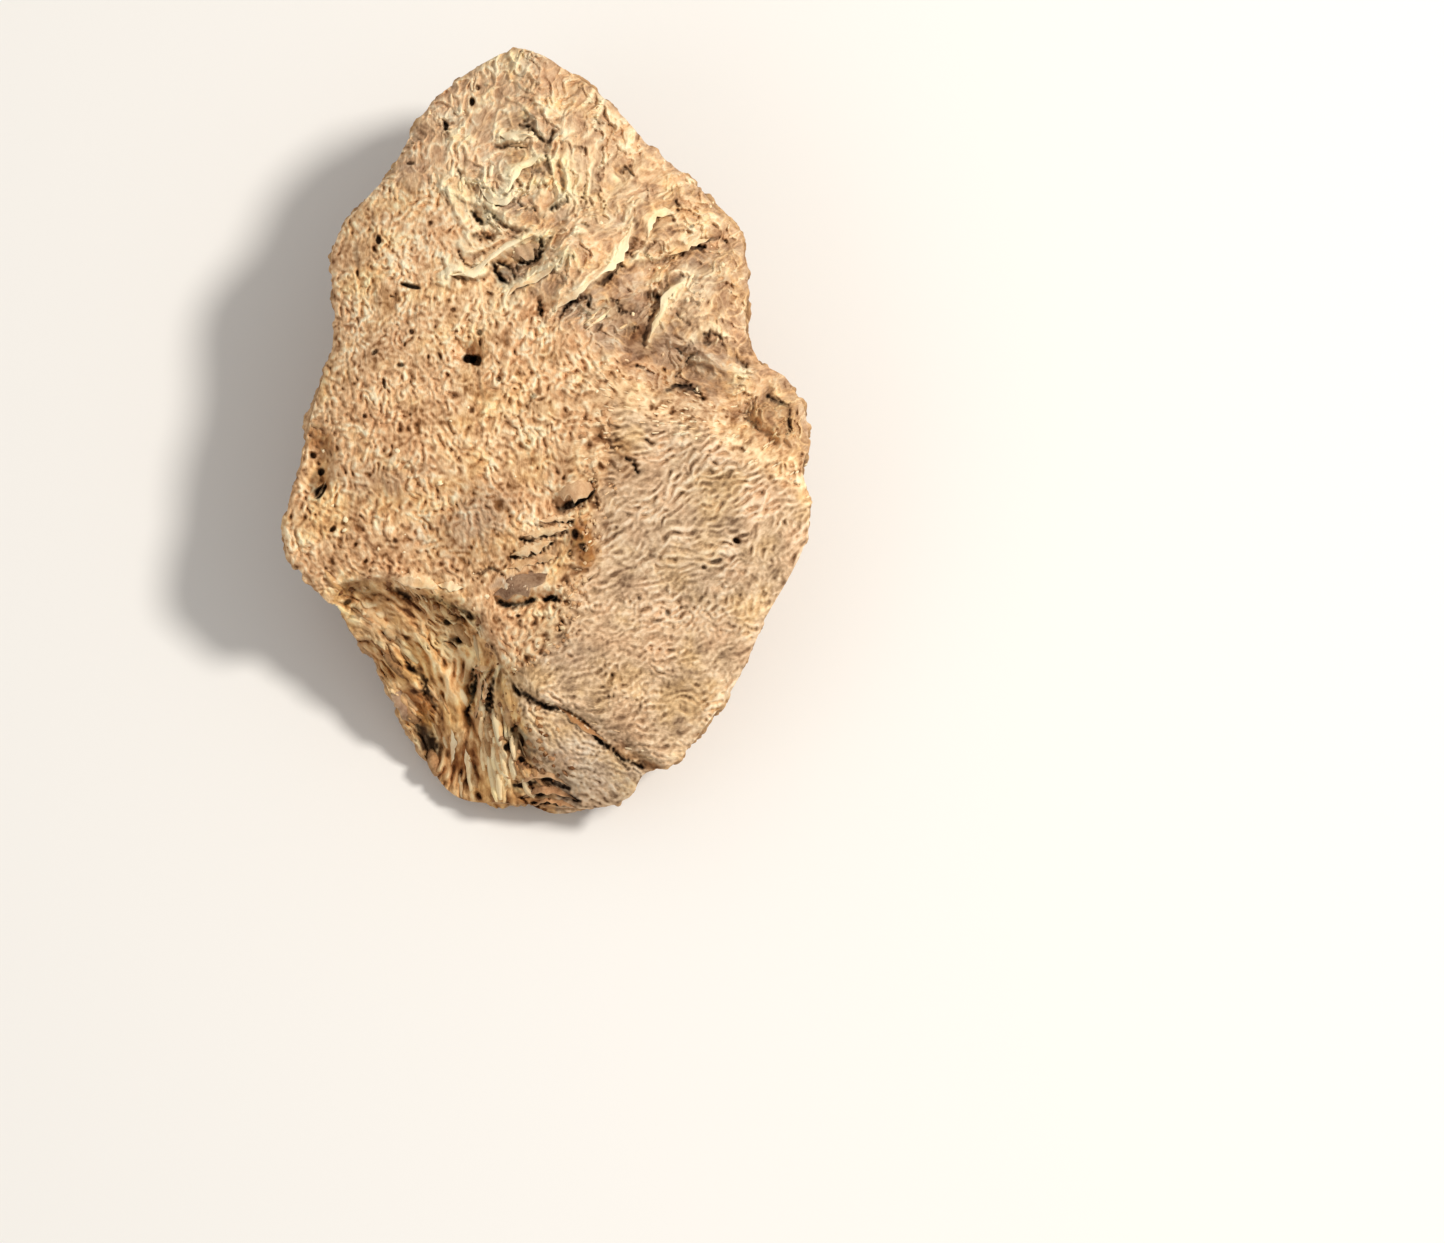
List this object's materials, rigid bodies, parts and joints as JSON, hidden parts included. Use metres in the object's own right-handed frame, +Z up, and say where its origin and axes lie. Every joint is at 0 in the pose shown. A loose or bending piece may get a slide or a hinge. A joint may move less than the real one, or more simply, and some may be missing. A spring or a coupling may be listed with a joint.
{
  "type": "costus root",
  "caption": "Thick dried slice of a gnarled root, pointed at one end, with wrinkled bark, a smooth sawn facet, a torn fibrous break and a flat knife-cut underside.",
  "frame": {"origin": "centre of the bounding box, in the plane of the knife-cut underside", "axes": "+Z up out of the broken upper face, +Y along the slice towards its pointed end, +X across it"},
  "size_m": [0.0532, 0.076, 0.0299],
  "materials": {
    "dried_root": "dry, matt, wrinkled and fibrous"
  },
  "bodies": {
    "root": {"root_slice": "dried_root"}
  },
  "joints": []
}
